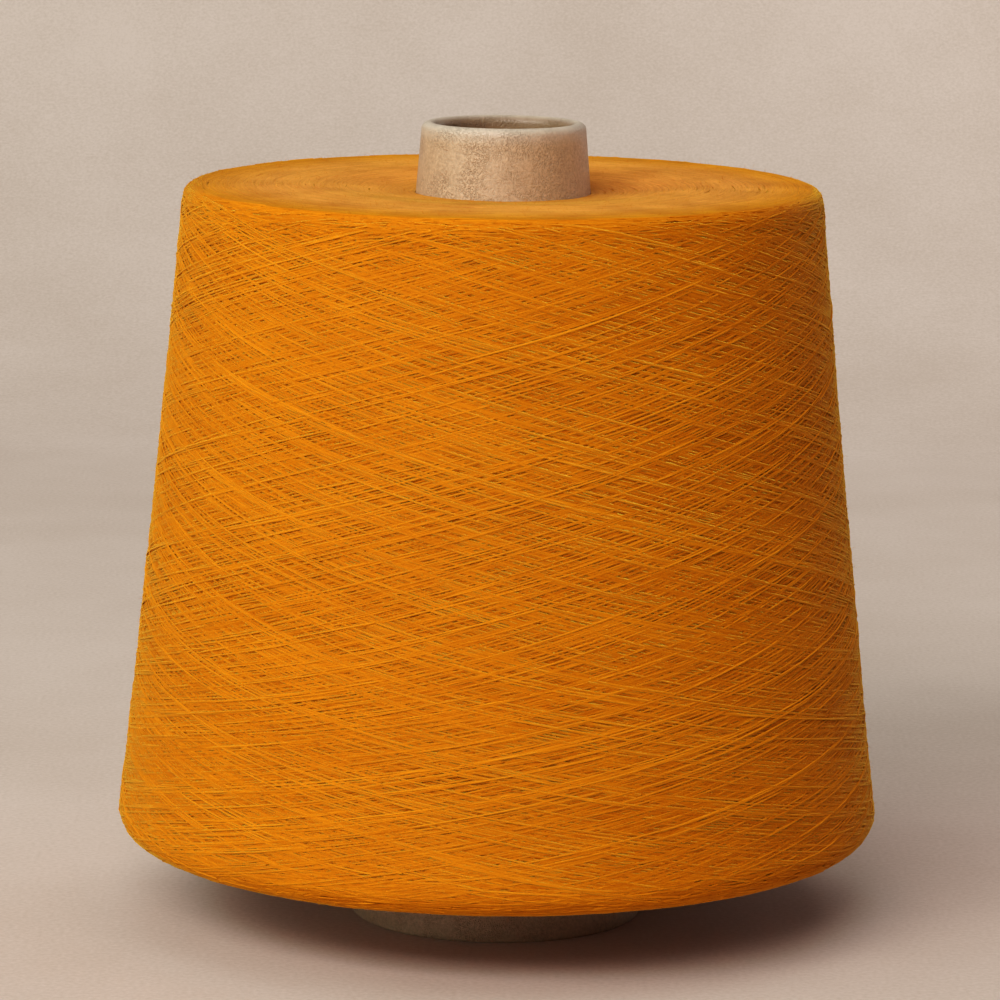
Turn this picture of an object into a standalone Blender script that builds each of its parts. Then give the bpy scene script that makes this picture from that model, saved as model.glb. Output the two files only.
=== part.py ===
"""Cone of yarn: a hollow pressed-cardboard tube with a tapered package of yarn wound on it.

Metres, +Z up. The origin is the centre of the tube's foot, on the surface that it stands on.
Both pieces are turned shapes, each a closed profile in the XZ plane swept round the Z axis.
"""
import math

import bmesh
import bpy

# Cardboard tube, nose up
TUBE_LENGTH = 0.170
NOSE_RADIUS = 0.01725           # outside, where the slanted side would meet the top plane
FOOT_RADIUS = 0.0311            # outside, at the foot
WALL = 0.0033
FOOT_CHAMFER = 0.0004

# Yarn package: sharp corners of its outline, before rounding
PACKAGE_TOP = 0.1568
PACKAGE_BOTTOM = 0.0173
TOP_RADIUS = 0.0674
BOTTOM_RADIUS = 0.0819
SIDE_HOLLOW = 0.0005            # the slanted side is drawn in this much at half height
TOP_ROUND = 0.0028
BOTTOM_ROUND = 0.0060

# Both end faces sink towards the tube
TOP_DISH = 0.0015
BOTTOM_DISH = 0.0022
DISH_REACH = 0.024              # how far from the tube the sinking starts
CLEARANCE = 0.0003              # between the tube and the yarn

# Fineness of the turned surfaces
TURN_STEPS = 72
ROUND_STEPS = 6
NOSE_STEPS = 10
SIDE_STEPS = 6
DISH_STEPS = 5

# Colours (linear RGB), roughness and metallic value of each material
CARDBOARD = ((0.45, 0.30, 0.19), 0.90, 0.0)
YARN = ((0.58, 0.20, 0.013), 0.85, 0.0)

TAPER = math.atan((FOOT_RADIUS - NOSE_RADIUS) / TUBE_LENGTH)


def tube_radius(height):
    """Outside radius of the tube at a height above its foot."""
    return NOSE_RADIUS + (TUBE_LENGTH - height) * math.tan(TAPER)


def arc(centre, radius, start, end, steps):
    """Points along an arc, angles in radians, from start to end."""
    angles = [start + (end - start) * i / steps for i in range(steps + 1)]
    return [(centre[0] + radius * math.cos(a), centre[1] + radius * math.sin(a)) for a in angles]


def rounded_corner(before, corner, after, radius, steps):
    """The arc that rounds a corner and is tangent to both of its sides."""
    incoming = math.atan2(corner[1] - before[1], corner[0] - before[0])
    outgoing = math.atan2(after[1] - corner[1], after[0] - corner[0])
    turn = (outgoing - incoming + math.pi) % (2 * math.pi) - math.pi
    side = math.copysign(math.pi / 2, turn)
    setback = radius * abs(math.tan(turn / 2))
    first = (corner[0] - setback * math.cos(incoming), corner[1] - setback * math.sin(incoming))
    centre = (first[0] + radius * math.cos(incoming + side),
              first[1] + radius * math.sin(incoming + side))
    return arc(centre, radius, incoming - side, outgoing - side, steps)


def tube_profile():
    """Outer side down to the flat foot, back up the bore, and over the rounded nose."""
    across = WALL / math.cos(TAPER)
    foot_inside = FOOT_RADIUS - across
    nose_centre = (tube_radius(TUBE_LENGTH - WALL / 2) - across / 2, TUBE_LENGTH - WALL / 2)
    nose = arc(nose_centre, WALL / 2, math.pi + TAPER, TAPER, NOSE_STEPS)
    foot = [
        (tube_radius(FOOT_CHAMFER), FOOT_CHAMFER),
        (FOOT_RADIUS - FOOT_CHAMFER, 0.0),
        (foot_inside + FOOT_CHAMFER, 0.0),
        (tube_radius(FOOT_CHAMFER) - across, FOOT_CHAMFER),
    ]
    return nose + foot


def dished_face(height, sink, inner, outer):
    """An end face from the tube outwards: it leaves the tube sunk by sink and levels off."""
    reach = min(DISH_REACH, outer - inner)
    points = []
    for i in range(DISH_STEPS + 1):
        along = i / DISH_STEPS
        fall = 0.5 * (1 + math.cos(math.pi * along))
        points.append((inner + reach * along, height - sink * fall))
    return points


def package_side():
    """The slanted side between its sharp corners, top to bottom."""
    points = []
    for i in range(SIDE_STEPS + 1):
        along = i / SIDE_STEPS
        radius = TOP_RADIUS + (BOTTOM_RADIUS - TOP_RADIUS) * along
        radius -= SIDE_HOLLOW * 4 * along * (1 - along)
        points.append((radius, PACKAGE_TOP + (PACKAGE_BOTTOM - PACKAGE_TOP) * along))
    return points


def package_profile():
    """Top face outwards, down the side, bottom face inwards; the loop closes along the bore."""
    gap = CLEARANCE / math.cos(TAPER)
    top_inside = tube_radius(PACKAGE_TOP - TOP_DISH) + gap
    bottom_inside = tube_radius(PACKAGE_BOTTOM + BOTTOM_DISH) + gap
    side = package_side()
    top_face = dished_face(PACKAGE_TOP, TOP_DISH, top_inside, TOP_RADIUS)
    bottom_face = dished_face(PACKAGE_BOTTOM, -BOTTOM_DISH, bottom_inside, BOTTOM_RADIUS)
    bottom_face.reverse()
    top_edge = rounded_corner(top_face[-1], side[0], side[1], TOP_ROUND, ROUND_STEPS)
    bottom_edge = rounded_corner(side[-2], side[-1], bottom_face[0], BOTTOM_ROUND, ROUND_STEPS)
    return top_face + top_edge + side[1:-1] + bottom_edge + bottom_face


def material(name, finish):
    colour, roughness, metallic = finish
    made = bpy.data.materials.new(name)
    made.use_nodes = True
    shader = made.node_tree.nodes["Principled BSDF"]
    shader.inputs["Base Color"].default_value = (*colour, 1.0)
    shader.inputs["Roughness"].default_value = roughness
    shader.inputs["Metallic"].default_value = metallic
    made.diffuse_color = (*colour, 1.0)
    return made


def turned(name, profile, finish, collection, parent):
    """A closed profile at +X, swept a full turn round Z."""
    shape = bmesh.new()
    corners = [shape.verts.new((x, 0.0, z)) for x, z in profile]
    for first, second in zip(corners, corners[1:] + corners[:1]):
        shape.edges.new((first, second))
    mesh = bpy.data.meshes.new(name)
    shape.to_mesh(mesh)
    shape.free()
    mesh.materials.append(material(name, finish))

    piece = bpy.data.objects.new(name, mesh)
    collection.objects.link(piece)
    piece.parent = parent
    screw = piece.modifiers.new("Turn", "SCREW")
    screw.axis = "Z"
    screw.angle = 2 * math.pi
    screw.steps = TURN_STEPS
    screw.render_steps = TURN_STEPS
    screw.use_merge_vertices = True
    screw.merge_threshold = 0.00001
    screw.use_smooth_shade = True
    return piece


def main():
    for old in list(bpy.data.objects):
        bpy.data.objects.remove(old, do_unlink=True)

    collection = bpy.data.collections.new("cone_of_yarn")
    bpy.context.scene.collection.children.link(collection)
    origin = bpy.data.objects.new("cone_of_yarn_origin", None)
    collection.objects.link(origin)

    turned("cardboard_tube", tube_profile(), CARDBOARD, collection, origin)
    turned("yarn_package", package_profile(), YARN, collection, origin)


main()
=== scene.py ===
"""Looks of a cone of yarn: crosswound orange yarn on a recycled-cardboard tube, on a pale floor.

The yarn package is wound thread by thread on a height map of its surface. Each thread lies on
what is under it, then raises the map, and what stays in sight at the end becomes real thread.
Lengths are in millimetres while winding, and become metres when a mesh is made. A place on the
package is an angle theta round the axis and an arc length u along the package's outline, which
runs from the tube over the top face, down the side, and under the bottom face to the tube.
"""

import math

import bpy
import numpy as np
from mathutils import Euler, Matrix, Vector


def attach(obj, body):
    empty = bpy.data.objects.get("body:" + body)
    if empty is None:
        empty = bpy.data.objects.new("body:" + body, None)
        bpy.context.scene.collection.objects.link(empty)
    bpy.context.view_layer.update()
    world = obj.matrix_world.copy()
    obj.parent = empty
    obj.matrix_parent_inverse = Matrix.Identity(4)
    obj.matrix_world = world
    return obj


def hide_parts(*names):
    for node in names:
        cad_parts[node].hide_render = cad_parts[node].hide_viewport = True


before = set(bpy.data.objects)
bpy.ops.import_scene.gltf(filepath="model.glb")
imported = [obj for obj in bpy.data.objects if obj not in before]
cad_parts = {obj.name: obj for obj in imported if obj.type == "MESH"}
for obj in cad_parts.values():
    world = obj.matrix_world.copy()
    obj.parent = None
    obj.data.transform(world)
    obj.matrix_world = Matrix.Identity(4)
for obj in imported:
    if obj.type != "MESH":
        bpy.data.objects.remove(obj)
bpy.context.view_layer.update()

MM = 0.001

# --------------------------------------------------
# Sizes of the piece, in mm, as the solids have them
# --------------------------------------------------
TUBE_LENGTH = 170.0
NOSE_RADIUS = 17.25
FOOT_RADIUS = 31.1
WALL = 3.3
PACKAGE_TOP = 156.8
PACKAGE_BOTTOM = 17.3
TOP_RADIUS = 67.4
BOTTOM_RADIUS = 81.9
SIDE_HOLLOW = 0.5
TOP_ROUND = 2.8
BOTTOM_ROUND = 6.0
TOP_DISH = 1.5
BOTTOM_DISH = 2.2
DISH_REACH = 24.0
CLEARANCE = 0.3
TAPER = math.atan((FOOT_RADIUS - NOSE_RADIUS) / TUBE_LENGTH)
MIDDLE_RADIUS = 0.5 * (TOP_RADIUS + BOTTOM_RADIUS)

# Steps along the outlines and round the turned meshes
DISH_STEPS = 24
SIDE_STEPS = 20
TOP_EDGE_STEPS = 24
BOTTOM_EDGE_STEPS = 32
NOSE_STEPS = 24
TUBE_STEPS = 40
BODY_KEEP = 20                  # the body takes one in this many points of the package's outline
BODY_TURN_STEPS = 140
TUBE_TURN_STEPS = 160

# The tube's foot, in mm: how wide and high its chamfer is, and where the chamfer eases in
FOOT_CHAMFER = 0.4
CHAMFER_START = 0.1
CHAMFER_HEIGHT = 0.2
FOOT_END = 0.5                  # height at which the straight wall starts
NOSE_END = 5.0                  # how far under the top it ends

# --------------------------------------------------
# Thread, in mm
# --------------------------------------------------
THREAD_RADIUS = 0.23
FLATNESS = 0.55                 # a thread's height to its width
SPREAD = 1.18                   # how much wider threads get as the next layer presses on them
PRESSED = 0.60                  # how much of a layer's build-up is left under the next one
THREAD_DEPTH = 0.22             # the middle threads lie this far under the finished surface
CORE_DEPTH = 0.44               # how far the plain body lies under it
# Painted light and shade: raised threads are painted lighter and sunk ones darker
RELIEF_PAINTED_SHADE = 2.0               # how much lighter a thread is for each mm that it stands up

# Relief is how much of the threads' build-up is left when they press together. Softness is how
# far fuzz turns a thread's shading towards that of the package.
SIDE_RELIEF = 0.38
SIDE_SOFTNESS = 0.24
FACE_RELIEF = 0.20
FACE_SOFTNESS = 0.65

# Slubs, the thick and thin places of a spun yarn: thread points between them, and their size
SLUB_SPACING = 2.5
SLUB_SIZE = 0.10

# How deep threads sink in among their neighbours: mm for a share of one, the middle share, and
# the thread points between its changes
BEDDING = 0.80
MIDDLE_BEDDING = 0.4
BEDDING_SPACING = 1.0

# --------------------------------------------------
# Winding. Pairs are the ends of a random range, unless something else is said
# --------------------------------------------------
# Winding angle: steeper on the upper part of the side than near the foot
UPPER_ANGLE = math.radians(16.5)
LOWER_ANGLE = math.radians(11.5)
FLATTER_FROM, FLATTER_TO = 78.0, 52.0      # heights between which the angle changes

LAYERS = 5
SHOWN_LAYERS = 3
LAYER_PASSES = 205              # double passes in a layer, down the side and up again

# Bundles of passes that lie nearly side by side. The sizes of changes are standard deviations.
OPEN_BUNDLES = 4                # bundles that are laid in turn
BUNDLE_PASSES = (4, 11)         # double passes in a bundle, with the end left out
BUNDLE_SPACING = (0.70, 1.15)   # mm between its threads
SPACING_CHANGE = (0.8, 1.25)    # how that is scaled from pass to pass
BUNDLE_SLANT = 0.08             # change of the winding angle between bundles
PASS_SLANT = 0.008              # and between the passes of one
BUNDLE_TINT = 0.35
PASS_TINT = 0.5
BUNDLE_BEDDING = (1.7, 0.8)     # thread points between changes, and their size
PASS_BEDDING = 0.8
TOP_TURNS = (-4.6, 5.0)         # mm from the side's start to where passes turn back
BOTTOM_TURNS = (-4.5, 8.5)      # mm from its end
TURN_LENGTH = (14, 30)          # mm that a thread takes to swing out of its turn
PASS_GRID = 2600                # points of the table that a pass is made with
SIDE_WANDER = [(90, 0.16), (22, 0.055)]    # slow and quick: fine steps between changes, and mm

# Rings of short arcs on the end faces
TOP_RINGS = 0.44                # mm between rings
BOTTOM_RINGS = 0.55
RING_START = 0.4                # mm from the tube to the first ring
RING_LAP = 1.0                  # mm that the rings go past the face
EDGE_MARGIN = 0.3               # mm that arcs stay off the tube
ARC_LENGTH = (18, 60)
MOST_ARC = 1.2                  # longest arc in a ring, for each mm of its radius
ARC_STEP = 0.9                  # share of an arc after which the next one starts
ARC_SHIFT = 0.15                # mm that an arc is off its ring
ARC_SLANT = math.radians(2.5)
ARC_WANDER = (60, 0.10)         # fine steps between changes, and mm
ARC_TINT = 0.7
ARC_BEDDING = 0.4
ARC_DIVE = (0.1, 0.35)          # mm that its ends go down

# What shows: each span of a thread is looked at in a grid of places, along it and across it
SEEN_ALONG = np.linspace(0.07, 0.93, 7)
SEEN_ACROSS = np.array([-0.17, 0.0, 0.17])
CROWN_SHARE = 0.6               # height of the crown over a thread's middle there, in radii
SEEN_COVER = 0.08               # mm of yarn over the crown that still lets it show
SIDE_SHARE = 0.24               # share of the places that has to show for a span to be made
FACE_SHARE = 0.36
FACE_MARGIN = 0.5               # mm past the shoulder where a thread still counts as on the face
PIECE_POINTS = 28000            # thread points in a piece, to keep it well under 200,000 triangles

# --------------------------------------------------
# Fuzz: loose fibres that stand off the threads, in mm and radians
# --------------------------------------------------
HAIRS = 12000
FACE_HAIRS = 2500               # more of them, on the top face alone
HAIR_RADIUS = 0.018
ELBOW_SHARE = 0.8               # thickness of a hair at its bend
HAIR_LENGTH = 0.75              # mean
SHORTEST_HAIR = 0.25
LONGEST_HAIR = 2.2
HAIR_DEPTH = 0.12               # how far under the surface a hair starts
HAIR_HEADING = 0.5              # spread about the winding's direction
HAIR_RISE = (0.3, 1.3)          # angle at which it leaves the surface
HAIR_BEND = (-0.3, 0.6)         # mean and spread of its bend towards the surface
HAIR_SWERVE = 0.5               # spread of its bend sideways
HAIR_TINT = (0.5, 0.8)          # mean and spread
HAIR_MARGIN = 0.5
HAIR_GRID = 2000

# --------------------------------------------------
# Colours, linear RGB, and haze
# --------------------------------------------------
# The yarn's deep and thin places are redder, and the raised ones yellower. On deep and raised threads
# this is painted shade and painted light; the rest is each thread's own tint and fibres
SIDE_DARK = (0.465, 0.117, 0.001, 1)
SIDE_LIGHT = (0.775, 0.264, 0.006, 1)
# The end faces are paler than the side: partly looser fibres and partly a painted sheen
FACE_DARK = (0.530, 0.160, 0.034, 1)
FACE_LIGHT = (0.880, 0.342, 0.074, 1)
# painted shade in the hollow round the tube
DIP_PAINTED_SHADE = (0.420, 0.120, 0.012, 1)
# Inner turns: painted shade in the grooves between bands, and the colour of their crests
INNER_GROOVE_SHADE = (0.360, 0.080, 0.001, 1)
INNER_LIGHT = (0.640, 0.195, 0.002, 1)
FUZZ_HAZE = (1.0, 0.78, 0.10, 1)
BOARD_DARK = (0.415, 0.278, 0.166, 1)
BOARD_LIGHT = (0.634, 0.438, 0.272, 1)
BOARD_PIT = (0.300, 0.195, 0.110, 1)
BOARD_NOSE_PALE = (0.600, 0.540, 0.460, 1)
# painted shade in the bore
BOARD_BORE_SHADE = (0.175, 0.080, 0.022, 1)
PLASTER_DARK = (0.528, 0.444, 0.396, 1)
PLASTER_LIGHT = (0.624, 0.538, 0.494, 1)

# Haze of the fuzz: the weight of the sheen on the side and on the looser end faces
SIDE_HAZE = 0.75
FACE_HAZE = 0.50

rng = np.random.default_rng(20)


def tube_radius(height):
    """Outside radius of the tube at a height above its foot."""
    return NOSE_RADIUS + (TUBE_LENGTH - height) * math.tan(TAPER)


# --------------------------------------------------
# Outline of the package: one curve from the tube over the top face, the side and the bottom face
# --------------------------------------------------
def arc(centre, radius, start, end, steps):
    """Points along an arc from a start angle to an end angle."""
    angles = np.linspace(start, end, steps + 1)
    return [(centre[0] + radius * math.cos(a), centre[1] + radius * math.sin(a)) for a in angles]


def rounded_corner(before, corner, after, radius, steps):
    """The arc that rounds a corner and is tangent to both of its sides."""
    incoming = math.atan2(corner[1] - before[1], corner[0] - before[0])
    outgoing = math.atan2(after[1] - corner[1], after[0] - corner[0])
    turn = (outgoing - incoming + math.pi) % (2 * math.pi) - math.pi
    side = math.copysign(math.pi / 2, turn)
    setback = radius * abs(math.tan(turn / 2))
    first = (corner[0] - setback * math.cos(incoming), corner[1] - setback * math.sin(incoming))
    centre = (first[0] + radius * math.cos(incoming + side),
              first[1] + radius * math.sin(incoming + side))
    return arc(centre, radius, incoming - side, outgoing - side, steps)


def dished_face(height, sink, inner):
    """An end face from the tube outwards: it leaves the tube sunk by sink and levels off."""
    points = []
    for along in np.linspace(0, 1, DISH_STEPS + 1):
        fall = 0.5 * (1 + math.cos(math.pi * along))
        points.append((inner + DISH_REACH * along, height - sink * fall))
    return points


def package_side():
    """The slanted side between its sharp corners, top to bottom."""
    points = []
    for along in np.linspace(0, 1, SIDE_STEPS + 1):
        radius = TOP_RADIUS + (BOTTOM_RADIUS - TOP_RADIUS) * along
        radius -= SIDE_HOLLOW * 4 * along * (1 - along)
        points.append((radius, PACKAGE_TOP + (PACKAGE_BOTTOM - PACKAGE_TOP) * along))
    return points


class Outline:
    """The package's outline by arc length u: radius, height and outward normal."""

    STEP = 0.12                 # mm between its points

    def __init__(self):
        gap = CLEARANCE / math.cos(TAPER)
        top_inside = tube_radius(PACKAGE_TOP - TOP_DISH) + gap
        bottom_inside = tube_radius(PACKAGE_BOTTOM + BOTTOM_DISH) + gap
        side = package_side()
        top = dished_face(PACKAGE_TOP, TOP_DISH, top_inside)
        bottom = dished_face(PACKAGE_BOTTOM, -BOTTOM_DISH, bottom_inside)
        bottom.reverse()
        top_edge = rounded_corner(top[-1], side[0], side[1], TOP_ROUND, TOP_EDGE_STEPS)
        bottom_edge = rounded_corner(side[-2], side[-1], bottom[0], BOTTOM_ROUND, BOTTOM_EDGE_STEPS)
        points = np.array(top + top_edge + side[1:-1] + bottom_edge + bottom)
        lengths = np.concatenate([[0], np.cumsum(np.hypot(*np.diff(points, axis=0).T))])
        self.length = lengths[-1]
        self.u = np.arange(0, self.length, self.STEP)
        self.radius = np.interp(self.u, lengths, points[:, 0])
        self.height = np.interp(self.u, lengths, points[:, 1])
        along_r = np.gradient(self.radius, self.u)
        along_z = np.gradient(self.height, self.u)
        size = np.hypot(along_r, along_z)
        self.normal_r = -along_z / size
        self.normal_z = along_r / size
        # Where the top face ends, the side starts and ends, and the bottom face starts
        self.top_shoulder = lengths[len(top)]
        self.side_start = lengths[len(top) + len(top_edge) - 1]
        self.side_end = lengths[len(points) - len(bottom) - len(bottom_edge)]
        self.bottom_shoulder = lengths[len(points) - len(bottom) - 1]

    def at(self, table, u):
        """A table's values at arc lengths."""
        return np.interp(u, self.u, table)

    def place(self, theta, u, lift):
        """Points in the room for angle, arc length and height over the surface."""
        r = self.at(self.radius, u) + lift * self.at(self.normal_r, u)
        z = self.at(self.height, u) + lift * self.at(self.normal_z, u)
        return np.stack([r * np.cos(theta), r * np.sin(theta), z], -1)

    def outward(self, theta, u):
        """Outward normals of the surface."""
        normal_r = self.at(self.normal_r, u)
        normal_z = self.at(self.normal_z, u)
        return np.stack([normal_r * np.cos(theta), normal_r * np.sin(theta), normal_z], -1)


outline = Outline()


# --------------------------------------------------
# Winding
# --------------------------------------------------
class Winding:
    """The height map of the package, and the threads laid on it."""

    AROUND = 4096               # cells in a turn
    SPAN = 6.0                  # mm between a thread's points
    FINE = 18                   # steps of the map work between two points
    FINE_STEP = SPAN / FINE
    ACROSS = np.array([-0.21, -0.11, 0.0, 0.11, 0.21])     # mm, where the map is read across
    CROWN_WIDTH = 1.05          # half the width of the crown that raises the map, in radii
    PEAK_SHARE = 0.35           # how much a span rests on the peak under it, and not on the mean
    SAG = 0.04                  # mm that a thread may sag between its neighbouring points
    SAG_ROUNDS = 2
    SEAT = 0.75                 # height of a thread's middle over its rest, in radii
    DIVE_POWER = 4              # how late along a thread its ends go down
    LEVEL_REACH = 2.4           # mm to each side over which the level is averaged

    def __init__(self):
        rows = len(outline.u)
        self.map = np.full((rows, self.AROUND), -CORE_DEPTH, np.float32)
        self.threads = []
        self.covered = 0

    def cells(self, theta, u):
        """Row and column of the map at each place."""
        column = np.floor(theta * (self.AROUND / (2 * math.pi))).astype(np.int64) % self.AROUND
        row = np.clip(np.rint(u / outline.STEP).astype(np.int64), 0, len(outline.u) - 1)
        return row, column

    def spread(self, theta, u, across):
        """Angle and arc length of points beside a path, at each distance across it."""
        radius = outline.at(outline.radius, u)
        along_arc = np.gradient(theta) * radius
        along_u = np.gradient(u)
        size = np.hypot(along_arc, along_u) + 1e-9
        side_theta = -(along_u / size) / radius
        side_u = along_arc / size
        return (theta[:, None] + side_theta[:, None] * across,
                u[:, None] + side_u[:, None] * across)

    def rest_on(self, under, spans):
        """Height at each of a thread's points of what it rests on."""
        ridge = under[:, 1:4].max(1)
        by_span = ridge[:-1].reshape(spans, self.FINE)
        soft = self.PEAK_SHARE * by_span.max(1) + (1 - self.PEAK_SHARE) * by_span.mean(1)
        rest = np.empty(spans + 1)
        rest[1:-1] = 0.5 * (soft[1:] + soft[:-1])
        rest[0] = soft[0]
        rest[-1] = soft[-1]
        for _ in range(self.SAG_ROUNDS):
            rest[1:-1] = np.maximum(rest[1:-1], 0.5 * (rest[2:] + rest[:-2]) - self.SAG)
        return rest

    def lay(self, theta, u, thickness, tint, sunk, dive=0.0):
        """Lays a thread along fine points. sunk is how deep it beds in at each of its points, and
        dive takes its ends under the neighbours."""
        spans = (len(theta) - 1) // self.FINE
        count = spans * self.FINE + 1
        theta = theta[:count]
        u = u[:count]
        side_theta, side_u = self.spread(theta, u, self.ACROSS)
        row, column = self.cells(side_theta, side_u)
        under = self.map[row, column]
        rest = self.rest_on(under, spans)
        rest -= sunk[:spans + 1]
        rest -= dive * np.linspace(-1, 1, spans + 1) ** self.DIVE_POWER
        radius = THREAD_RADIUS * np.interp(np.linspace(0, 1, spans + 1),
                                           np.linspace(0, 1, len(thickness)), thickness)
        centre = rest + self.SEAT * radius
        fine_centre = np.interp(np.arange(count) / self.FINE, np.arange(spans + 1), centre)
        crown = THREAD_RADIUS * np.sqrt(1 - (self.ACROSS / (self.CROWN_WIDTH * THREAD_RADIUS)) ** 2)
        self.map[row, column] = np.maximum(under, fine_centre[:, None] + crown)
        keep = slice(None, None, self.FINE)
        self.threads.append([theta[keep], u[keep], centre, radius, tint])

    def level(self):
        """The mean height of the wound surface along the outline."""
        width = int(self.LEVEL_REACH / outline.STEP)
        window = 2 * width + 1
        padded = np.pad(self.map.mean(1), width, mode="edge")
        return np.convolve(padded, np.full(window, 1 / window), mode="valid")

    def press(self):
        """Presses the build-up towards its mean and drops it by that mean, as the next layer does."""
        level = self.level()
        self.map = (PRESSED * (self.map - level[:, None])).astype(np.float32)
        for thread in self.threads:
            thread[2] = PRESSED * (thread[2] - outline.at(level, thread[1]))
            thread[3] = SPREAD * thread[3]


winding = Winding()
LONGEST = 200                   # more points than any thread has


def smooth_noise(count, spacing, size):
    """Random values that change smoothly, spacing samples apart."""
    knots = int(count / spacing) + 3
    coarse = rng.normal(0, size, knots)
    return np.interp(np.arange(count) / spacing, np.arange(knots), coarse)


def thickness_along(count):
    """Thick and thin places along a spun yarn of so many fine points."""
    return 1 + smooth_noise(count // Winding.FINE + 1, SLUB_SPACING, SLUB_SIZE)


def bedding(shared, own):
    """How deep a thread sinks along its way: partly with its bundle, and partly on its own."""
    alone = smooth_noise(LONGEST, BEDDING_SPACING, own)
    return BEDDING * np.maximum(MIDDLE_BEDDING + shared + alone, 0)


def steepness(u):
    """Tangent of the winding angle at an arc length."""
    height = outline.at(outline.height, u)
    blend = np.clip((FLATTER_FROM - height) / (FLATTER_FROM - FLATTER_TO), 0, 1)
    blend = blend * blend * (3 - 2 * blend)
    return math.tan(UPPER_ANGLE) + (math.tan(LOWER_ANGLE) - math.tan(UPPER_ANGLE)) * blend


def traverse(start_theta, start_u, end_u, slant, turn_length):
    """One pass along the side, from one turning point to the other, at fine spacing. slant scales
    the winding angle, and turn_length is how far the thread takes to swing out of its turn."""
    low = min(start_u, end_u)
    high = max(start_u, end_u)
    grid = np.linspace(low, high, PASS_GRID)
    middle = 0.5 * (grid[1:] + grid[:-1])
    steep = slant * steepness(middle)
    bend = 2 * steep / turn_length
    steep = np.minimum(steep, np.sqrt(bend * np.minimum(middle - low, high - middle)))
    run = np.concatenate([[0], np.cumsum(np.diff(grid) / steep)])
    s = np.arange(0, run[-1], Winding.FINE_STEP)
    u = np.interp(s, run, grid)
    if end_u < start_u:
        u = u[::-1]
    for spacing, size in SIDE_WANDER:
        u = u + smooth_noise(len(u), spacing, size)
    radius = outline.at(outline.radius, u)
    theta = start_theta + np.concatenate([[0], np.cumsum(Winding.FINE_STEP / radius[:-1])])
    return theta, u


def new_bundle(theta):
    """Settings that the passes of a bundle share, at the angle where its first one starts."""
    return {"theta": theta,
            "left": int(rng.integers(*BUNDLE_PASSES)),
            "spacing": rng.uniform(*BUNDLE_SPACING),
            "sunk": [smooth_noise(LONGEST, *BUNDLE_BEDDING) for _ in range(2)],
            "slant": rng.normal(1, BUNDLE_SLANT),
            "tint": rng.normal(0, BUNDLE_TINT)}


def wind_side(passes):
    """Double passes down and up the side. The bundles are spread evenly round the package."""
    golden = 0.5 * (math.sqrt(5) - 1)
    bundles = []
    begun = rng.uniform(0, 1)
    for number in range(passes):
        if len(bundles) < OPEN_BUNDLES:
            begun += golden
            bundles.append(new_bundle(2 * math.pi * begun))
        bundle = bundles[number % len(bundles)]
        shift = bundle["spacing"] * rng.uniform(*SPACING_CHANGE)
        bundle["theta"] += shift / math.sin(UPPER_ANGLE) / MIDDLE_RADIUS
        theta = bundle["theta"]
        top = outline.side_start + rng.uniform(*TOP_TURNS)
        bottom = outline.side_end + rng.uniform(*BOTTOM_TURNS)
        next_top = outline.side_start + rng.uniform(*TOP_TURNS)
        down, up = bundle["sunk"]
        for start_u, end_u, shared in ((top, bottom, down), (bottom, next_top, up)):
            slant = bundle["slant"] * rng.normal(1, PASS_SLANT)
            path_theta, path_u = traverse(theta, start_u, end_u, slant, rng.uniform(*TURN_LENGTH))
            winding.lay(path_theta, path_u, thickness_along(len(path_u)),
                        bundle["tint"] + rng.normal(0, PASS_TINT), bedding(shared, PASS_BEDDING))
            theta = path_theta[-1]
        bundle["left"] -= 1
        if bundle["left"] == 0:
            bundles.remove(bundle)


def ring_arcs(u0):
    """Short arcs that cover a ring at an arc length: each one's u, start angle, length and radius."""
    arcs = []
    radius = float(outline.at(outline.radius, u0))
    covered = 0.0
    theta = rng.uniform(0, 2 * math.pi)
    while covered < 2 * math.pi * radius:
        length = min(rng.uniform(*ARC_LENGTH), MOST_ARC * radius)
        arcs.append((u0 + rng.normal(0, ARC_SHIFT), theta + covered / radius, length, radius))
        covered += ARC_STEP * length
    return arcs


def wind_face(u_from, u_to, spacing):
    """Short arcs that show on an end face, where each turn of yarn reaches the edge and goes back."""
    arcs = []
    for u0 in np.arange(u_from, u_to, spacing):
        arcs += ring_arcs(u0)
    for index in rng.permutation(len(arcs)):
        u0, theta0, length, radius = arcs[index]
        s = np.arange(0, length, Winding.FINE_STEP)
        slant = math.tan(rng.normal(0, ARC_SLANT))
        u = u0 + slant * (s - length / 2) + smooth_noise(len(s), *ARC_WANDER)
        u = np.clip(u, EDGE_MARGIN, outline.length - EDGE_MARGIN)
        winding.lay(theta0 + s / radius, u, thickness_along(len(u)), rng.normal(0, ARC_TINT),
                    bedding(0.0, ARC_BEDDING), dive=rng.uniform(*ARC_DIVE))


def wind():
    """Winds the layers, and notes how many threads the shown layers cover."""
    for layer in range(LAYERS):
        if layer:
            winding.press()
        if layer == LAYERS - SHOWN_LAYERS:
            winding.covered = len(winding.threads)
        wind_face(RING_START, outline.side_start + RING_LAP, TOP_RINGS)
        wind_face(outline.side_end - RING_LAP, outline.length - RING_START, BOTTOM_RINGS)
        wind_side(LAYER_PASSES)


# --------------------------------------------------
# Meshes
# --------------------------------------------------
TRIANGLE = np.radians([90, 210, 330])      # corners of the section of a thread or a hair


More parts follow.
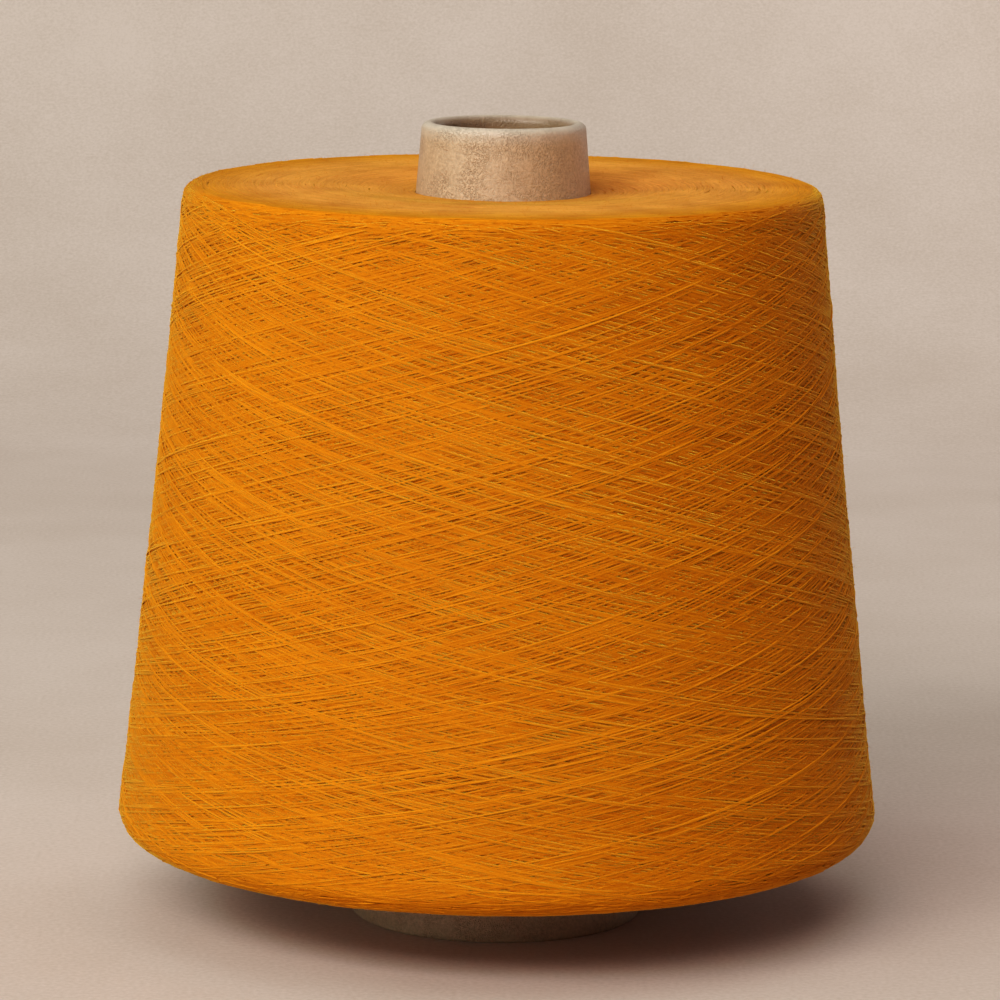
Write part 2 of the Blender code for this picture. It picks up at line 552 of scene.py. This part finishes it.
def make_mesh(name, points, quads, triangles=(), values=None, uv=None):
    """A smooth mesh object from arrays of points in mm and of face corners. values are attributes
    with a number for each point, and uv has a row for each corner."""
    mesh = bpy.data.meshes.new(name)
    corners = np.concatenate([np.asarray(quads, np.int32).ravel(),
                              np.asarray(triangles, np.int32).ravel()])
    sizes = np.concatenate([np.full(len(quads), 4, np.int32),
                            np.full(len(triangles), 3, np.int32)])
    starts = np.concatenate([[0], np.cumsum(sizes)[:-1]]).astype(np.int32)
    mesh.vertices.add(len(points))
    mesh.vertices.foreach_set("co", (np.asarray(points) * MM).astype(np.float32).ravel())
    mesh.loops.add(len(corners))
    mesh.loops.foreach_set("vertex_index", corners)
    mesh.polygons.add(len(sizes))
    mesh.polygons.foreach_set("loop_start", starts)
    mesh.polygons.foreach_set("use_smooth", np.full(len(sizes), True))
    for key, data in (values or {}).items():
        layer = mesh.attributes.new(key, "FLOAT", "POINT")
        layer.data.foreach_set("value", np.asarray(data, np.float32))
    if uv is not None:
        layer = mesh.uv_layers.new(name="turns")
        layer.uv.foreach_set("vector", np.asarray(uv, np.float32).ravel())
    mesh.update(calc_edges=True)
    mesh.validate()
    piece = bpy.data.objects.new(name, mesh)
    bpy.context.scene.collection.objects.link(piece)
    return piece


def on_face(u):
    """Whether a thread with these arc lengths lies on an end face."""
    middle = u.mean()
    return (middle < outline.top_shoulder + FACE_MARGIN
            or middle > outline.bottom_shoulder - FACE_MARGIN)


def shown_spans(theta, u, centre):
    """Which spans of a thread show, or lie between two that do."""
    knots = np.arange(len(theta))
    t = (knots[:-1, None] + SEEN_ALONG).ravel()
    side_theta, side_u = winding.spread(np.interp(t, knots, theta), np.interp(t, knots, u),
                                        SEEN_ACROSS)
    row, column = winding.cells(side_theta, side_u)
    crown = np.interp(t, knots, centre)[:, None] + CROWN_SHARE * THREAD_RADIUS
    over = winding.map[row, column] - crown
    enough = FACE_SHARE if on_face(u) else SIDE_SHARE
    seen = (over < SEEN_COVER).reshape(len(theta) - 1, -1).mean(1) > enough
    shown = seen.copy()
    shown[1:-1] |= seen[2:] & seen[:-2]
    return shown


def thread_runs():
    """The stretches of thread that show at the end, as arrays of their points."""
    runs = []
    for theta, u, centre, radius, tint in winding.threads[winding.covered:]:
        shown = shown_spans(theta, u, centre).astype(np.int8)
        edges = np.flatnonzero(np.diff(np.concatenate([[0], shown, [0]])))
        for first, last in zip(edges[::2], edges[1::2]):
            part = slice(first, last + 1)
            runs.append((theta[part], u[part], centre[part], radius[part], tint,
                         first * Winding.SPAN))
    return runs


def section(side, out, flatness=1.0):
    """The corners of a three-sided section at each place, from its directions to the side and out."""
    return (np.cos(TRIANGLE)[None, :, None] * side[:, None]
            + flatness * np.sin(TRIANGLE)[None, :, None] * out[:, None])


def thread_mesh(name, runs, relief, softness):
    """Closed three-sided threads along the runs, smooth, with their length as an attribute."""
    sides = len(TRIANGLE)
    corner = np.arange(sides)
    points, normals, quads, caps, along, tints = [], [], [], [], [], []
    level = winding.level()
    base = 0
    for theta, u, centre, radius, tint, start in runs:
        raised = centre - outline.at(level, u)
        spine = outline.place(theta, u, relief * raised - THREAD_DEPTH)
        count = len(spine)
        forward = np.gradient(spine, axis=0)
        forward /= np.linalg.norm(forward, axis=1, keepdims=True)
        package_out = outline.outward(theta, u)
        side = np.cross(forward, package_out)
        side /= np.linalg.norm(side, axis=1, keepdims=True)
        out = np.cross(side, forward)
        ring = radius[:, None, None] * section(side, out, FLATNESS)
        points.append((spine[:, None] + ring).reshape(-1, 3))
        shading = (1 - softness) * section(side, out) + softness * package_out[:, None]
        normals.append(shading.reshape(-1, 3))
        rings = base + sides * np.arange(count - 1)[:, None]
        here = rings + corner
        beside = rings + (corner + 1) % sides
        quads.append(np.stack([here, here + sides, beside + sides, beside], -1).reshape(-1, 4))
        end = base + sides * (count - 1)
        caps.append([[base, base + 1, base + 2], [end + 2, end + 1, end]])
        along.append(np.repeat(start + Winding.SPAN * np.arange(count), sides))
        # painted light on raised threads and painted shade on sunk ones, added to each thread's own
        # tint
        tints.append(np.repeat(tint + RELIEF_PAINTED_SHADE * raised, sides))
        base += sides * count
    piece = make_mesh(name, np.concatenate(points), np.concatenate(quads), np.concatenate(caps),
                      {"along": np.concatenate(along), "tint": np.concatenate(tints)})
    normals = np.concatenate(normals)
    normals /= np.linalg.norm(normals, axis=1, keepdims=True)
    piece.data.normals_split_custom_set_from_vertices(normals)
    return piece


def hair_places(count, u_from, u_to):
    """Angles and arc lengths of random points, spread evenly over that part of the package."""
    grid = np.linspace(u_from, u_to, HAIR_GRID)
    area = np.cumsum(outline.at(outline.radius, grid))
    u = np.interp(rng.uniform(0, area[-1], count), area, grid)
    return rng.uniform(0, 2 * math.pi, count), u


def hair_bends(theta, u):
    """Root, bend and tip of hairs that leave the surface along the winding, with the direction to
    the side of each one and its length."""
    count = len(theta)
    root = outline.place(theta, u, np.full(count, -HAIR_DEPTH))
    out = outline.outward(theta, u)
    around = np.stack([-np.sin(theta), np.cos(theta), np.zeros(count)], -1)
    across = np.cross(out, around)
    heading = rng.normal(0, HAIR_HEADING, count) + math.pi * rng.integers(0, 2, count)
    flat = np.cos(heading)[:, None] * around + np.sin(heading)[:, None] * across
    length = SHORTEST_HAIR + rng.exponential(HAIR_LENGTH - SHORTEST_HAIR, count)
    length = np.minimum(length, LONGEST_HAIR)[:, None]
    first = rng.uniform(*HAIR_RISE, count)[:, None]
    second = first + rng.normal(*HAIR_BEND, count)[:, None]
    turn = rng.normal(0, HAIR_SWERVE, count)[:, None]
    elbow = root + 0.5 * length * (np.cos(first) * flat + np.sin(first) * out)
    swerve = np.cos(turn) * flat + np.sin(turn) * np.cross(out, flat)
    tip = elbow + 0.5 * length * (np.cos(second) * swerve + np.abs(np.sin(second)) * out)
    return root, elbow, tip, np.cross(flat, out), length


def fuzz_mesh(name, theta, u):
    """Short bent fibres, each a closed three-sided spike."""
    count = len(theta)
    root, elbow, tip, side, length = hair_bends(theta, u)
    ring = HAIR_RADIUS * section(side, np.cross(side, tip - root) / length)
    points = np.concatenate([root[:, None] + ring, elbow[:, None] + ELBOW_SHARE * ring,
                             tip[:, None]], 1).reshape(-1, 3)
    # A hair's points: 0 to 2 at the root, 3 to 5 at the bend and 6 at the tip
    walls = [[0, 1, 4, 3], [1, 2, 5, 4], [2, 0, 3, 5]]
    ends = [[2, 1, 0], [3, 4, 6], [4, 5, 6], [5, 3, 6]]
    hair_points = 7
    base = hair_points * np.arange(count)[:, None]
    quads = np.stack([base + np.array(wall) for wall in walls], 1).reshape(-1, 4)
    caps = np.stack([base + np.array(end) for end in ends], 1).reshape(-1, 3)
    tints = np.repeat(rng.normal(*HAIR_TINT, count), hair_points)
    along = np.tile(np.arange(hair_points), count)
    return make_mesh(name, points, quads, caps, {"along": along, "tint": tints})


def turned_mesh(name, profile, steps):
    """A closed profile of (radius, height) swept round the axis. Its UV map has the angle as a
    share of a turn, and the length along the profile in mm."""
    profile = np.asarray(profile)
    count = len(profile)
    angles = np.linspace(0, 2 * math.pi, steps, endpoint=False)
    points = np.stack([profile[None, :, 0] * np.cos(angles)[:, None],
                       profile[None, :, 0] * np.sin(angles)[:, None],
                       np.broadcast_to(profile[None, :, 1], (steps, count))], -1).reshape(-1, 3)
    around = np.arange(steps)[:, None] * count
    after = ((np.arange(steps) + 1) % steps)[:, None] * count
    here = np.arange(count)[None, :]
    there = (here + 1) % count
    quads = np.stack([around + here, around + there, after + there, after + here], -1)
    closed = np.vstack([profile, profile[:1]])
    lengths = np.concatenate([[0], np.cumsum(np.hypot(*np.diff(closed, axis=0).T))])
    turn = np.arange(steps + 1) / steps
    grid = np.stack(np.meshgrid(turn, lengths, indexing="ij"), -1)
    uv = np.stack([grid[:-1, :-1], grid[:-1, 1:], grid[1:, 1:], grid[1:, :-1]], 2)
    return make_mesh(name, points, quads.reshape(-1, 4), uv=uv)


# --------------------------------------------------
# Nodes
# --------------------------------------------------
def node(tree, kind, inputs=None, **settings):
    """A node with its settings, and with its inputs linked or set."""
    made = tree.nodes.new(kind)
    for key, value in settings.items():
        setattr(made, key, value)
    for key, value in (inputs or {}).items():
        if isinstance(value, bpy.types.NodeSocket):
            tree.links.new(value, made.inputs[key])
        else:
            made.inputs[key].default_value = value
    return made


def new_material(name):
    made = bpy.data.materials.new(name)
    made.use_nodes = True
    return made, made.node_tree, made.node_tree.nodes["Principled BSDF"]


def math_node(tree, operation, *values):
    inputs = dict(enumerate(values))
    return node(tree, "ShaderNodeMath", inputs, operation=operation).outputs[0]


def object_place(tree):
    """A point's place on its object, in metres."""
    return node(tree, "ShaderNodeTexCoord").outputs["Object"]


def joined(tree, x, y):
    return node(tree, "ShaderNodeCombineXYZ", {"X": x, "Y": y}).outputs["Vector"]


def split(tree, vector):
    return node(tree, "ShaderNodeSeparateXYZ", {"Vector": vector}).outputs


def noise(tree, place, scale, detail, roughness=0.5):
    """Values that change smoothly from place to place, mostly between 0.3 and 0.7."""
    inputs = {"Vector": place, "Scale": scale, "Detail": detail, "Roughness": roughness}
    return node(tree, "ShaderNodeTexNoise", inputs).outputs["Fac"]


def ramp(tree, value, start, end, low=0.0, high=1.0):
    """Goes from low to high while the value goes from start to end."""
    inputs = {"Value": value, "From Min": start, "From Max": end, "To Min": low, "To Max": high}
    return node(tree, "ShaderNodeMapRange", inputs).outputs["Result"]


def blended(tree, factor, first, second, **settings):
    """A colour between two others, by a factor."""
    inputs = {"Factor": factor, "A": first, "B": second}
    return node(tree, "ShaderNodeMix", inputs, data_type="RGBA", **settings).outputs["Result"]


def distance_from_axis(tree, parts):
    """How far a point is from the upright axis of its object."""
    flat = joined(tree, parts["X"], parts["Y"])
    return node(tree, "ShaderNodeVectorMath", {0: flat}, operation="LENGTH").outputs["Value"]


def add_bump(tree, shader, height, strength, distance):
    inputs = {"Height": height, "Strength": strength, "Distance": distance}
    bump = node(tree, "ShaderNodeBump", inputs)
    tree.links.new(bump.outputs["Normal"], shader.inputs["Normal"])


# --------------------------------------------------
# Materials
# --------------------------------------------------
def finish_yarn(shader, haze):
    """Gloss of a spun yarn, and the haze of its fuzz at a grazing angle."""
    shader.inputs["Roughness"].default_value = 0.62
    shader.inputs["Specular IOR Level"].default_value = 0.04
    shader.inputs["Sheen Weight"].default_value = haze
    shader.inputs["Sheen Roughness"].default_value = 0.32
    shader.inputs["Sheen Tint"].default_value = FUZZ_HAZE


def yarn_shade(tree, unevenness):
    """Lightness of spun yarn: each thread has its own tint, with painted light where it stands up and
    painted shade where it sinks, lighter and darker fibres along it, and patches of the package are
    lighter and darker by the unevenness."""
    fibre_contrast = 4.0
    apart = 40.0                # how far the fibres of threads with another tint are taken apart
    # the tint attribute holds painted light and shade from how far a thread stands up, besides its
    # own tint
    tint = node(tree, "ShaderNodeAttribute", attribute_name="tint").outputs["Fac"]
    along = node(tree, "ShaderNodeAttribute", attribute_name="along").outputs["Fac"]
    place = joined(tree, along, math_node(tree, "MULTIPLY", tint, apart))
    fibres = noise(tree, place, scale=0.4, detail=4.0, roughness=0.8)
    shade = math_node(tree, "MULTIPLY_ADD", fibres, fibre_contrast, tint)
    patches = noise(tree, object_place(tree), scale=85.0, detail=2.0)
    uneven = math_node(tree, "MULTIPLY", math_node(tree, "SUBTRACT", patches, 0.5), unevenness)
    shade = math_node(tree, "ADD", shade, uneven)
    return ramp(tree, shade, start=-0.5, end=4.5)


def side_yarn_material():
    made, tree, shader = new_material("spun_yarn")
    colour = blended(tree, yarn_shade(tree, unevenness=1.0), SIDE_DARK, SIDE_LIGHT)
    tree.links.new(colour, shader.inputs["Base Color"])
    finish_yarn(shader, SIDE_HAZE)
    return made


def face_yarn_material():
    """Loose turns of the end faces: paler, partly looser fibres and partly a painted sheen, with
    painted shade in the hollow round the tube, and like the side's towards the shoulder."""
    made, tree, shader = new_material("loose_yarn")
    shade = yarn_shade(tree, unevenness=8.0)
    # paler face colours: partly looser fibres, partly a painted sheen
    face = blended(tree, shade, FACE_DARK, FACE_LIGHT)
    side = blended(tree, shade, SIDE_DARK, SIDE_LIGHT)
    radius = distance_from_axis(tree, split(tree, object_place(tree)))
    # painted shade in the hollow round the tube
    dip_shade = ramp(tree, radius, start=0.019, end=0.029, low=0.40, high=0.0)
    shoulder = ramp(tree, radius, start=0.0510, end=0.0635)
    colour = blended(tree, dip_shade, face, DIP_PAINTED_SHADE)
    colour = blended(tree, shoulder, colour, side)
    tree.links.new(colour, shader.inputs["Base Color"])
    finish_yarn(shader, FACE_HAZE)
    return made


def thread_bands(tree, turn, length, slope):
    """Heights of threads side by side that climb with the given slope round the body."""
    circumference = 2 * math.pi * MIDDLE_RADIUS
    band = 0.42                 # mm from thread to thread
    wander = 2.0                # mm that the bands wander
    climb = math_node(tree, "MULTIPLY", turn, circumference * slope)
    across = math_node(tree, "ADD", length, climb)
    place = joined(tree, math_node(tree, "MULTIPLY", turn, 25.0),
                   math_node(tree, "MULTIPLY", length, 0.12))
    shift = noise(tree, place, scale=1.0, detail=2.0)
    across = math_node(tree, "ADD", across, math_node(tree, "MULTIPLY", shift, wander))
    wave = math_node(tree, "SINE", math_node(tree, "MULTIPLY", across, math.pi / band))
    return math_node(tree, "ABSOLUTE", wave)


def inner_yarn_material():
    """The turns under the ones that are modelled: bands of thread crossing at the winding angle, with
    painted shade in the grooves between the bands.
    """
    made, tree, shader = new_material("inner_yarn")
    parts = split(tree, node(tree, "ShaderNodeUVMap", uv_map="turns").outputs["UV"])
    rising = thread_bands(tree, parts["X"], parts["Y"], math.tan(UPPER_ANGLE))
    falling = thread_bands(tree, parts["X"], parts["Y"], -math.tan(UPPER_ANGLE))
    patches = noise(tree, object_place(tree), scale=320.0, detail=1.0)
    choice = ramp(tree, patches, start=0.46, end=0.54)
    height = node(tree, "ShaderNodeMix", {"Factor": choice, "A": rising, "B": falling})
    height = height.outputs["Result"]
    # painted shade: darker in the grooves between the bands
    colour = blended(tree, height, INNER_GROOVE_SHADE, INNER_LIGHT)
    tree.links.new(colour, shader.inputs["Base Color"])
    add_bump(tree, shader, height, strength=0.7, distance=0.0002)
    finish_yarn(shader, SIDE_HAZE)
    return made


def cardboard_material():
    """Recycled board: pale brown pulp with patches of small pits, paler and greyer over the nose, and
    painted shade in the bore."""
    made, tree, shader = new_material("recycled_cardboard")
    place = object_place(tree)
    parts = split(tree, place)
    pulp = noise(tree, place, scale=1500.0, detail=4.0, roughness=0.6)
    broad = noise(tree, place, scale=170.0, detail=3.0)
    grit = noise(tree, place, scale=3300.0, detail=2.0)
    pits = ramp(tree, grit, start=0.50, end=0.62)
    rough_spots = ramp(tree, broad, start=0.40, end=0.60, low=0.15, high=1.0)
    pitted = math_node(tree, "MULTIPLY", pits, rough_spots)

    colour = blended(tree, ramp(tree, pulp, start=0.3, end=0.7), BOARD_DARK, BOARD_LIGHT)
    patch = ramp(tree, broad, start=0.3, end=0.7, low=0.94, high=1.06)
    colour = blended(tree, 1.0, colour, patch, blend_type="MULTIPLY")
    pit_tint = 0.4
    colour = blended(tree, math_node(tree, "MULTIPLY", pitted, pit_tint), colour, BOARD_PIT)
    # paler and greyer over the nose
    nose_pale = ramp(tree, parts["Z"], start=0.1664, end=0.1697, high=0.70)
    colour = blended(tree, nose_pale, colour, BOARD_NOSE_PALE)

    # How far a point is into the wall: 0 on the outside of the tube and WALL in the bore
    radius = distance_from_axis(tree, parts)
    slant = math_node(tree, "MULTIPLY", parts["Z"], math.tan(TAPER))
    from_outside = math_node(tree, "ADD", radius, slant)
    inward = math_node(tree, "SUBTRACT", tube_radius(0) * MM, from_outside)
    # painted shade, darkening into the bore
    bore_shade = ramp(tree, inward, start=0.0018, end=0.0030, high=0.75)
    colour = blended(tree, bore_shade, colour, BOARD_BORE_SHADE)
    tree.links.new(colour, shader.inputs["Base Color"])
    shader.inputs["Roughness"].default_value = 0.40
    shader.inputs["Specular IOR Level"].default_value = 0.85

    pulp_height = 0.6
    relief = math_node(tree, "SUBTRACT", math_node(tree, "MULTIPLY", pulp, pulp_height), pitted)
    add_bump(tree, shader, relief, strength=0.9, distance=0.0002)
    return made


def plaster_material():
    """Pale plaster with slight mottling and a fine grain."""
    made, tree, shader = new_material("pale_plaster")
    place = object_place(tree)
    mottling = noise(tree, place, scale=9.0, detail=6.0, roughness=0.6)
    grain = noise(tree, place, scale=900.0, detail=2.0)
    grain_contrast = 2.0
    speckle = math_node(tree, "MULTIPLY", math_node(tree, "SUBTRACT", grain, 0.5), grain_contrast)
    blend = math_node(tree, "ADD", ramp(tree, mottling, start=0.25, end=0.75), speckle)
    colour = blended(tree, blend, PLASTER_DARK, PLASTER_LIGHT)
    tree.links.new(colour, shader.inputs["Base Color"])
    shader.inputs["Roughness"].default_value = 0.9
    return made


# --------------------------------------------------
# Build
# --------------------------------------------------
def thread_pieces(name, runs, material, relief, softness):
    """The runs as a few pieces."""
    pieces = []
    group = []
    size = 0
    for run in runs + [None]:
        if run is None or size + len(run[0]) > PIECE_POINTS:
            piece = thread_mesh("%s_%d" % (name, len(pieces) + 1), group, relief, softness)
            piece.data.materials.append(material)
            pieces.append(piece)
            group = []
            size = 0
        if run is not None:
            group.append(run)
            size += len(run[0])
    return pieces


def build_yarn():
    """The threads of the side and of the end faces, and their fuzz."""
    wind()
    runs = thread_runs()
    side_yarn = side_yarn_material()
    face_yarn = face_yarn_material()
    sides = [run for run in runs if not on_face(run[1])]
    faces = [run for run in runs if on_face(run[1])]
    pieces = thread_pieces("yarn_turns", sides, side_yarn, SIDE_RELIEF, SIDE_SOFTNESS)
    pieces += thread_pieces("yarn_ends", faces, face_yarn, FACE_RELIEF, FACE_SOFTNESS)
    theta, u = hair_places(HAIRS, HAIR_MARGIN, outline.length - HAIR_MARGIN)
    more_theta, more_u = hair_places(FACE_HAIRS, HAIR_MARGIN, outline.side_start)
    fuzz = fuzz_mesh("yarn_fuzz", np.append(theta, more_theta), np.append(u, more_u))
    fuzz.data.materials.append(side_yarn)
    return pieces + [fuzz]


def package_body():
    """The plain body under the threads."""
    u = np.append(outline.u[::BODY_KEEP], outline.u[-1])
    r = outline.at(outline.radius, u) - CORE_DEPTH * outline.at(outline.normal_r, u)
    z = outline.at(outline.height, u) - CORE_DEPTH * outline.at(outline.normal_z, u)
    body = turned_mesh("yarn_inner", np.stack([r, z], -1), BODY_TURN_STEPS)
    body.data.materials.append(inner_yarn_material())
    return body


def tube_profile():
    """Over the rounded nose, down the outside, across the foot, and up the bore."""
    across = WALL / math.cos(TAPER)
    foot_inside = FOOT_RADIUS - across
    nose_height = TUBE_LENGTH - WALL / 2
    centre = (tube_radius(nose_height) - across / 2, nose_height)
    nose = arc(centre, WALL / 2, math.pi + TAPER, TAPER, NOSE_STEPS)
    down = np.linspace(TUBE_LENGTH - NOSE_END, FOOT_END, TUBE_STEPS)
    up = np.linspace(FOOT_END, TUBE_LENGTH - NOSE_END, TUBE_STEPS)
    outer = [(tube_radius(h), h) for h in down]
    inner = [(tube_radius(h) - across, h) for h in up]
    foot = [(FOOT_RADIUS - CHAMFER_START, CHAMFER_HEIGHT),
            (FOOT_RADIUS - FOOT_CHAMFER, 0.0),
            (foot_inside + FOOT_CHAMFER, 0.0),
            (foot_inside + CHAMFER_START, CHAMFER_HEIGHT)]
    return nose + outer + foot + inner


turns = build_yarn()
body = package_body()
tube = turned_mesh("tube_shell", tube_profile(), TUBE_TURN_STEPS)
tube.data.materials.append(cardboard_material())

for piece in turns + [body]:
    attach(piece, "root")
    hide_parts("yarn_package")
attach(tube, "root")
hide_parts("cardboard_tube")


# --------------------------------------------------
# Floor, light and camera, in metres and degrees
# --------------------------------------------------
# The floor's edges, and the sweep behind the piece: where it starts, its radius and how far it
# turns. It is no higher than the picture shows, so that it hides nothing from the other sides.
FLOOR_FRONT = -4.0
FLOOR_HALF = 4.0
SWEEP_START = 0.6
SWEEP_RADIUS = 0.5
SWEEP_ANGLES = np.linspace(0.05, 0.93, 16)     # radians

LIT_HEIGHT = 0.08               # the middle of the piece, which the lights aim at
BOUNCED = (1.0, 0.92, 0.84)     # colour of light off warm pale walls
NEUTRAL = (1.0, 0.96, 0.92)
WORLD_STRENGTH = 0.07

LENS = 179.4                    # mm, with a picture 36 mm wide
CAMERA_PLACE = (0, -1.0476, 0.2679)
CAMERA_DOWN = 9.68              # how far it looks down
CAMERA_ROLL = 0.609

# Points of the camera's tone curve: scene light, and the light that the picture shows for it
TONE = [(0.0, 0.0), (0.06, 0.042), (0.18, 0.164), (0.5, 0.5), (1.0, 0.965)]


def build_stage():
    """A pale floor that sweeps up a little behind the piece."""
    path = [(FLOOR_FRONT, 0.0), (SWEEP_START, 0.0)]
    for angle in SWEEP_ANGLES:
        path.append((SWEEP_START + SWEEP_RADIUS * math.sin(angle),
                     SWEEP_RADIUS - SWEEP_RADIUS * math.cos(angle)))
    points = np.array([(x, y, z) for y, z in path for x in (-FLOOR_HALF, FLOOR_HALF)]) / MM
    quads = [[2 * i, 2 * i + 1, 2 * i + 3, 2 * i + 2] for i in range(len(path) - 1)]
    floor = make_mesh("studio_floor", points, quads)
    floor.data.materials.append(plaster_material())


def area_light(name, place, target, size, power, colour):
    """A rectangular light at a place, turned to a target."""
    data = bpy.data.lights.new(name, "AREA")
    data.shape = "RECTANGLE"
    data.size, data.size_y = size
    data.energy = power
    data.color = colour
    lamp = bpy.data.objects.new(name, data)
    bpy.context.scene.collection.objects.link(lamp)
    lamp.location = place
    lamp.rotation_euler = (Vector(target) - Vector(place)).to_track_quat("-Z", "Y").to_euler()


def light_from(name, left, up, distance, size, power, colour):
    """A light on the piece, at an angle to the left of the camera's side and one above the table."""
    across = distance * math.cos(math.radians(up))
    place = (-across * math.sin(math.radians(left)),
             -across * math.cos(math.radians(left)),
             LIT_HEIGHT + distance * math.sin(math.radians(up)))
    area_light(name, place, (0, 0, LIT_HEIGHT), size, power, colour)


def build_light():
    """A cool window at the left, a warm softbox at the front, and what the room sends back."""
    light_from("window", left=64, up=28, distance=1.95, size=(2.0, 1.8), power=18.4,
               colour=(0.82, 1.0, 0.88))
    light_from("softbox", left=23, up=33, distance=2.07, size=(1.8, 0.6), power=35.2,
               colour=(1.0, 0.90, 0.82))
    light_from("bounce", left=-112, up=18, distance=2.0, size=(1.6, 1.4), power=1.5,
               colour=BOUNCED)
    area_light("ceiling", place=(0, -0.1, 1.9), target=(0, 0, 0), size=(2.4, 2.4), power=16.0,
               colour=BOUNCED)
    area_light("backdrop_light", place=(0.75, 0.75, 0.35), target=(0.15, 1.1, 0.30),
               size=(0.3, 0.3), power=1.6, colour=NEUTRAL)
    area_light("back_fill", place=(0, 1.15, 0.95), target=(0, -1.0, 0.95), size=(3.2, 1.3),
               power=5.0, colour=(1.0, 0.86, 0.78))
    world = bpy.data.worlds.new("studio")
    bpy.context.scene.world = world
    world.use_nodes = True
    background = world.node_tree.nodes["Background"]
    background.inputs["Color"].default_value = (*NEUTRAL, 1)
    background.inputs["Strength"].default_value = WORLD_STRENGTH


def build_camera():
    """A long lens, a little above the piece."""
    data = bpy.data.cameras.new("camera")
    data.lens = LENS
    data.sensor_width = 36.0
    data.clip_end = 20.0
    camera = bpy.data.objects.new("camera", data)
    bpy.context.scene.collection.objects.link(camera)
    tilt = Euler((math.radians(90 - CAMERA_DOWN), 0, 0)).to_matrix().to_4x4()
    roll = Matrix.Rotation(math.radians(CAMERA_ROLL), 4, "Z")
    camera.matrix_world = Matrix.Translation(CAMERA_PLACE) @ tilt @ roll
    bpy.context.scene.camera = camera


def set_tone():
    """The camera's tone curve: in each channel shadows deepen a little and highlights roll off."""
    view = bpy.context.scene.view_settings
    view.view_transform = "Standard"
    view.use_curve_mapping = True
    all_channels = view.curve_mapping.curves[3]
    for given, shown in TONE[1:-1]:
        all_channels.points.new(given, shown)
    all_channels.points[0].location = TONE[0]
    all_channels.points[-1].location = TONE[-1]
    view.curve_mapping.update()


build_stage()
build_light()
build_camera()
set_tone()
